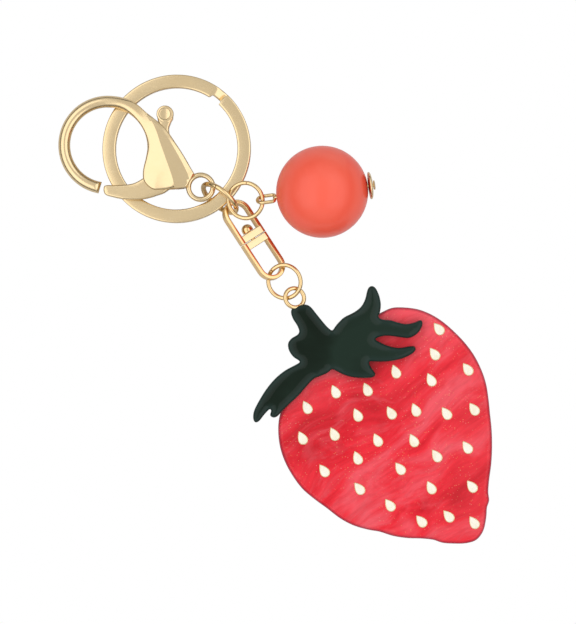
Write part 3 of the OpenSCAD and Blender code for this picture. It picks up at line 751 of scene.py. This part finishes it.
# The cap is loose on its pin and leans a little.
CAP_AT, CAP_LEAN = 11.04, 9
cap_profile = [(-0.20, 0.50), (-0.14, 1.2), (0.02, 1.9), (0.05, 2.5), (0.0, 2.92), (0.05, 3.12),
               (0.2, 3.2), (0.36, 3.18), (0.5, 3.05), (0.64, 2.7), (0.77, 2.1), (0.84, 1.4),
               (0.86, 0.50)]
cap_place = (bead_place @ Matrix.Translation((CAP_AT, 0, 0))
             @ Matrix.Rotation(math.radians(CAP_LEAN), 4, "Y"))
make_piece("bead_cap_domed", *lathe(cap_profile, 64, bored=True), cap_gold, "bead", "gold",
           ["bead_cap"], cap_place, sharp=60)


# --- Lobster clasp -------------------------------------------------------------------
# Die-cast zinc, tumbled and gold plated: a round hook that runs into a hollow, faceted
# belly with an eye at its end. A sprung lever closes the hook and carries a thumb tab.

clasp_place = placed(-17.3, 28.7, 5.7, ("Z", 155), ("Y", 3), ("Z", -155))
cast_gold = gold_finish("gold_casting", 0.25, 90.0, Scratch_size=650.0, Scratches=0.5,
                        Waviness_size=120.0, Waviness=0.7, Polish=0.15, Polish_spread=0.08)

# Outlines from the middle of the eye, in mm: round the hook's outside and down the back,
# then the belly's side, up the neck and round the hook's inside.
HOOK_MIDDLE, HOOK_R, WIRE_HALF, TIP = (-22, 10), 10.2, 1.4, 261
hook_outside = [p[:2] for p in arc(HOOK_R + WIRE_HALF, TIP - 1.5, 96, 34, HOOK_MIDDLE)]
hook_inside = [p[:2] for p in arc(HOOK_R - WIRE_HALF, 96, TIP + 0.5, 34, HOOK_MIDDLE)]
back_line = hook_outside + [
    (-22.0, 21.6), (-20.4, 21.5), (-18.6, 21.2), (-16.6, 20.5), (-14.6, 19.2), (-12.7, 17.5),
    (-10.5, 15.8), (-8.3, 13.8), (-6.5, 11.2), (-5.1, 9.1), (-3.8, 7.0), (-2.5, 4.75), (-1.4, 2.9)]
belly_line = [(-2.9, 0.4), (-3.7, -0.2), (-6.7, -0.5), (-9.7, -0.7), (-11.2, -0.6), (-12.4, 0.2),
              (-13.3, 1.3), (-13.6, 2.5), (-13.5, 4.3), (-12.9, 6.8), (-12.5, 9.3), (-12.8, 11.7),
              (-13.7, 13.9), (-15.2, 15.9), (-17.3, 17.6), (-19.6, 18.6),
              (-22.0, 18.8)] + hook_inside
ridge = [(-15.5, 19.8), (-14.2, 18.7), (-12.6, 17.0), (-11.2, 15.0), (-10.2, 12.8), (-9.4, 10.4),
         (-8.6, 8.2), (-7.9, 6.2), (-7.1, 4.0), (-6.4, 1.8), (-6.0, -0.3)]
bevel = [(-11.5, 15.5), (-10.5, 14.9), (-9.3, 13.9), (-7.8, 11.9), (-6.5, 9.8), (-5.2, 7.5),
         (-3.9, 5.1), (-3.0, 3.2), (-2.5, 1.6)]


def smooth_line(points, parts):
    """An open smooth curve through the points."""
    p = np.array(points, float)
    p = np.concatenate([[2 * p[0] - p[1]], p, [2 * p[-1] - p[-2]]])
    return np.concatenate([curve(p[:-3], p[1:-2], p[2:-1], p[3:], parts), p[-2:-1]])


back, side = smooth_line(back_line, 5), smooth_line(belly_line, 5)
clasp_loop = np.concatenate([back, side])[::-1]
ridge_line, bevel_line = smooth_line(ridge, 6), smooth_line(bevel, 6)
flat, faces = net(clasp_loop, [0.04, 0.11, 0.22, 0.36, 0.54, 0.76], 0.36, [ridge_line, bevel_line])
# Towards the hook the ridge runs on as the back's own edge.
full_ridge = np.concatenate([smooth_line(back_line[26:39], 5), ridge_line])
to_back, to_belly = gap_to(flat, back, False), gap_to(flat, side, False)
to_tip = gap_to(flat, [side[-1], back[0]], False)
to_ridge = gap_to(flat, full_ridge, False)
to_bevel = gap_to(flat, bevel_line, False)


def right_of(points, line):
    """Which points lie on the back's side of an open line that runs down."""
    a, b = line[:-1], line[1:]
    d = b - a
    t = np.clip(((points[:, None] - a) * d).sum(2) / np.maximum((d * d).sum(1), 1e-9), 0, 1)
    near = np.linalg.norm(points[:, None] - a - t[..., None] * d, axis=2).argmin(1)
    rel = points - a[near]
    return d[near, 0] * rel[:, 1] - d[near, 1] * rel[:, 0] > 0


def ease_in(value, start, end):
    """A soft step from 0 at the start to 1 at the end."""
    t = np.clip((value - start) / (end - start), 0, 1)
    return t * t * (3 - 2 * t)


EDGE_HALF, BELLY_HALF = 1.32, 2.5
# The casting swells down the neck; across it, it turns from round to belly, facet and bevel.
full = WIRE_HALF + (BELLY_HALF - WIRE_HALF) * ease_in(-flat[:, 1], -19.0, -8.5) * (flat[:, 0] > -19)
share = to_belly / np.maximum(to_belly + to_back, 1e-6)
neck = full * np.sqrt(np.clip(1 - (2 * share - 1) ** 2, 0, 1))
on_facet = right_of(flat, full_ridge)
past_tip = flat[:, 1] > 15.5
on_bevel = (right_of(flat, bevel_line) | past_tip) & on_facet & (flat[:, 1] < 17.2)
crown = np.clip(to_belly / np.maximum(to_belly + to_ridge, 1e-6), 0, 1)
swell = EDGE_HALF + (full - EDGE_HALF) * (
    0.45 * np.sqrt(np.clip(1 - (1 - crown) ** 2, 0, 1)) + 0.55 * crown)
drop = 0.16 * (full - EDGE_HALF) * ease_in(-flat[:, 1], -15.5, -12.0)
facet = full - drop * to_ridge / np.maximum(to_ridge + np.minimum(to_bevel, to_back), 1e-6)
to_inner = np.where(past_tip, to_ridge, np.minimum(to_bevel, to_ridge))
outer = full - drop - 0.30 * to_inner / np.maximum(to_inner + to_back, 1e-6)
cast = np.where(on_bevel, outer, np.where(on_facet, facet, swell))
cast = cast - np.maximum(rounded(to_back, 0.14), rounded(to_belly, 0.35))
turned_flat = ease_in(flat[:, 0], -19.0, -12.8)
height = neck * (1 - turned_flat) + cast * turned_flat - rounded(to_tip, 0.5)
height = np.maximum(height, 0.02)
verts, solid = two_sided(flat, faces, clasp_loop, height, -height)
clasp = make_piece("clasp_casting", verts, solid, cast_gold, "clasp", "gold", ["clasp_body"],
                   clasp_place)


def prism(loop, half):
    """A block through a flat loop, that far down and up."""
    n = len(loop)
    return ([(p[0], p[1], z) for z in (-half, half) for p in loop],
            [tuple(reversed(range(n))), tuple(n + k for k in range(n))]
            + [(k, (k + 1) % n, n + (k + 1) % n, n + k) for k in range(n)])


SLOT_HALF, EYE_BORE = 1.25, 2.85
slot_loop = [(-10.5, 20.0), (-2.0, 12.0), (-2.0, 6.0), (-3.9, 3.6), (-3.9, -3.0), (-15.0, -3.0),
             (-15.0, 8.4), (-11.6, 9.6), (-11.2, 16.6)]
cut_away(clasp, *prism(slot_loop, SLOT_HALF), clasp_place)
cut_away(clasp, *prism(arc(EYE_BORE, 0, 352.5, 47), 4), clasp_place)
# The ridge and the bevel are cast sharp.
to_drawing = clasp_place.inverted()
at = [to_drawing @ (v.co / MM) for v in clasp.data.vertices]
middles = np.array([tuple((at[e.vertices[0]] + at[e.vertices[1]]) / 2)[:2]
                    for e in clasp.data.edges])
to_crease = np.minimum(gap_to(middles, ridge_line, False), gap_to(middles, bevel_line, False))
clasp.data.set_sharp_from_angle(angle=math.radians(50))
for edge, sharp in zip(clasp.data.edges, (to_crease < 0.01) & (middles[:, 1] < 15.5)):
    if sharp:
        edge.use_edge_sharp = True

eye_rim = sweep(arc(2.88, 0, 352.5, 47), eased_section(1.16, 2.0, 0.56, 6), closed=True)
make_piece("clasp_eye", *eye_rim, cast_gold, "clasp", "gold", (), clasp_place, sharp=60)

# The lever: a gate with eased edges and a round thumb tab with a raised rim.
TAB_AT, GATE_HALF, TAB_HALF = (-8.4, 17.2), 1.15, 0.8
lever_pts = [(-22.7, 0.2), (-22.0, 0.5), (-20.2, 0.5), (-18.2, 0.6), (-16.2, 0.8), (-14.5, 1.5),
             (-12.7, 2.7), (-10.9, 3.9), (-9.9, 5.8), (-9.7, 9.3), (-9.7, 13.3), (-9.85, 15.0),
             (-10.15, 16.4), (-9.5, 17.9), (-7.2, 17.9), (-6.5, 16.4), (-7.1, 15.0), (-7.5, 13.6),
             (-7.2, 11.8), (-6.7, 9.8), (-5.5, 5.8), (-4.8, 2.8), (-5.3, 0.7),
             (-6.9, -0.2), (-8.7, -1.4), (-10.2, -1.9), (-11.7, -2.4), (-13.7, -2.8), (-15.7, -2.9),
             (-18.2, -2.8), (-20.7, -2.3), (-22.3, -1.8), (-22.8, -0.9)]
lever_loop = smooth_loop(lever_pts[::-1], 5)
flat, faces = net(lever_loop, [0.06, 0.16, 0.3, 0.5], 0.6)
depth = gap_to(flat, lever_loop)
half = GATE_HALF - rounded(depth, 0.5, 0.42)
half[np.hypot(*(flat - TAB_AT).T) < 1.8] = TAB_HALF
verts, solid = two_sided(flat, faces, lever_loop, half, -half)
make_piece("clasp_lever_gate", verts, solid, cast_gold, "lever", "gold", ["clasp_lever"],
           clasp_place, sharp=50)
tab_rise = [(0.95, 1.15), (0.99, 1.28), (1.13, 1.42), (1.15, 1.6), (1.08, 1.82),
            (0.85, 1.97), (0.5, 2.0)]
tab = lathe(tab_rise + [(-x, r) for x, r in reversed(tab_rise)], 56)
tab_place = (clasp_place @ Matrix.Translation((*TAB_AT, 0))
             @ Matrix.Rotation(math.radians(-90), 4, "Y"))
make_piece("clasp_thumb_tab", *tab, cast_gold, "lever", "gold", (), tab_place)

# Pin and torsion spring are plain steel, and show only through the slot.
steel, tree, shader = new_finish("spring_steel", Metallic=1.0)
where = put(tree, "ShaderNodeTexCoord").outputs["Object"]
grey = shades(tree, noise(tree, where, 900.0, 4.0), (0.3, (0.42, 0.42, 0.43)),
              (0.7, (0.62, 0.62, 0.63)))
tree.links.new(grey, shader.inputs["Base Color"])
add_marks(tree, shader, 0.01, 0.4, Scratches=0.6, Polish=0.22, Polish_spread=0.15)
for node in ("clasp_pin", "clasp_spring"):
    hidden_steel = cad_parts[node]
    hidden_steel.data.materials.clear()
    hidden_steel.data.materials.append(steel)
    for face in hidden_steel.data.polygons:
        face.use_smooth = True


# --- Split ring ----------------------------------------------------------------------
# One strip of flattened spring wire, 3.1 by 1.08 mm, coiled twice and plated. The two
# coils lie face to face and change places at the step, where both ends stop.

ring_gold = gold_finish("gold_split_ring", 0.3, 70.0, Scratch_size=420.0, Scratches=0.6,
                        Waviness_size=90.0, Waviness=0.8, Polish=0.14, Polish_spread=0.09)
key_place = placed(-23, 37.8, 1.30, ("Z", -45), ("Y", -4.2), ("Z", 45))
COIL_R, COIL_T, STRIP_WIDE = 15.95, 1.08, 3.1
upper, lower = 1.5 * COIL_T + 0.04, 0.5 * COIL_T
# The step between the coils, and where the lower coil ends, in degrees round the ring.
STEP_HIGH, STEP_LOW, LAST_TURN = 57.4, 46.0, -302.6
turns = ([406 - 2.5 * k for k in range(139)] + [58.5 - 0.9 * k for k in range(14)]
         + [46 - 2.5 * k for k in range(140)])
path = []
for turn in turns:
    if turn < LAST_TURN:
        break
    t = min(max((STEP_HIGH - 0.6 - turn) / (STEP_HIGH - STEP_LOW - 1.2), 0), 1)
    rise = upper + (lower - upper) * t * t * (3 - 2 * t)
    a = math.radians(turn)
    path.append((COIL_R * math.cos(a), COIL_R * math.sin(a), rise))
verts, faces = sweep(path, eased_section(STRIP_WIDE, COIL_T, 0.24, 5, across=0.5), nose=0.06,
                     taper=0.94)


def ramp(value):
    """From 0 at 0 to 1 at 1.2."""
    return min(max(value / 1.2, 0), 1)


# On the ramp between the coils the strip is pinched in from its inner edge.
pinched = []
for x, y, z in verts:
    r, turn = math.hypot(x, y), math.degrees(math.atan2(y, x))
    push = 0.8 * ramp(turn - STEP_LOW - 0.2) * ramp(STEP_HIGH - 0.2 - turn) * ramp(COIL_R - r)
    pinched.append((x * (r + push) / r, y * (r + push) / r, z))
make_piece("split_ring_strip", pinched, faces, ring_gold, "key_ring", "gold", ["key_ring"],
           key_place)


# --- Table, light and camera ---------------------------------------------------------
# The charm lies flat on a plain white table that glows a little, under two wide soft panels,
# left and right, with the camera above the gap between them.

table_white, tree, shader = new_finish("table_white", Roughness=0.9, Specular_IOR_Level=0.1)
where = put(tree, "ShaderNodeTexCoord").outputs["Object"]
paper = shades(tree, noise(tree, where, 6.0, 2.0), (0.3, (0.56, 0.56, 0.56)),
               (0.7, (0.59, 0.59, 0.59)))
tree.links.new(paper, shader.inputs["Base Color"])
shader.inputs["Emission Strength"].default_value = 0.12
shader.inputs["Emission Color"].default_value = (1, 1, 1, 1)
# The sheet lights the metal from below, but it is clear to the eye and from its underside, so
# that whatever hangs lower than the table at a pose still shows, and is lit.
seen = put(tree, "ShaderNodeLightPath").outputs["Is Camera Ray"]
beneath = put(tree, "ShaderNodeNewGeometry").outputs["Backfacing"]
clear = work(tree, "MAXIMUM", seen, beneath)
tree.links.new(work(tree, "SUBTRACT", 1.0, clear), shader.inputs["Alpha"])
mesh = bpy.data.meshes.new("table")
mesh.from_pydata([(-3, -3, 0), (3, -3, 0), (3, 3, 0), (-3, 3, 0)], [], [(0, 1, 2, 3)])
table = bpy.data.objects.new("table", mesh)
bpy.context.scene.collection.objects.link(table)
mesh.materials.append(table_white)

scene = bpy.context.scene
scene.view_settings.view_transform = "Standard"
world = bpy.data.worlds.new("studio")
world.use_nodes = True
# The room is pale overhead, darker low down all round, and as pale as the table below its level;
# the camera sees plain white.
room = world.node_tree
towards = put(room, "ShaderNodeTexCoord").outputs["Generated"]
upward = put(room, "ShaderNodeSeparateXYZ", {"Vector": towards}).outputs["Z"]
walls = shades(room, upward, (0.14, (0.06, 0.06, 0.06)), (0.46, (0.74, 0.74, 0.74)))
walls = blend_colours(room, work(room, "LESS_THAN", upward, 0.0), walls, (0.5, 0.5, 0.5))
seen = put(room, "ShaderNodeLightPath").outputs["Is Camera Ray"]
background = room.nodes["Background"]
room.links.new(blend_colours(room, seen, walls, (1.0, 1.0, 1.0)), background.inputs["Color"])
background.inputs["Strength"].default_value = 1.0
scene.world = world

PANEL_HEIGHT = 0.62
for side in (-1, 1):
    light = bpy.data.lights.new("panel_left" if side < 0 else "panel_right", "AREA")
    light.shape = "RECTANGLE"
    light.size, light.size_y = 0.72, 1.3
    light.energy = 2.2
    panel = bpy.data.objects.new(light.name, light)
    panel.location = (side * 0.53, 0.0, PANEL_HEIGHT)
    panel.rotation_euler = (0, side * math.radians(12), 0)
    scene.collection.objects.link(panel)

camera = bpy.data.cameras.new("camera")
camera.lens = 200
camera.sensor_width = 36
view = bpy.data.objects.new("camera", camera)
look_at = (Vector((3.18, -0.59, 4.0)) - SHEET_MIDDLE) * MM
VIEW_HIGH = 0.1468  # how much of the table the picture's longer side takes in, in metres
view.location = look_at + Vector((0, 0, VIEW_HIGH * camera.lens / camera.sensor_width))
scene.collection.objects.link(view)
scene.camera = view
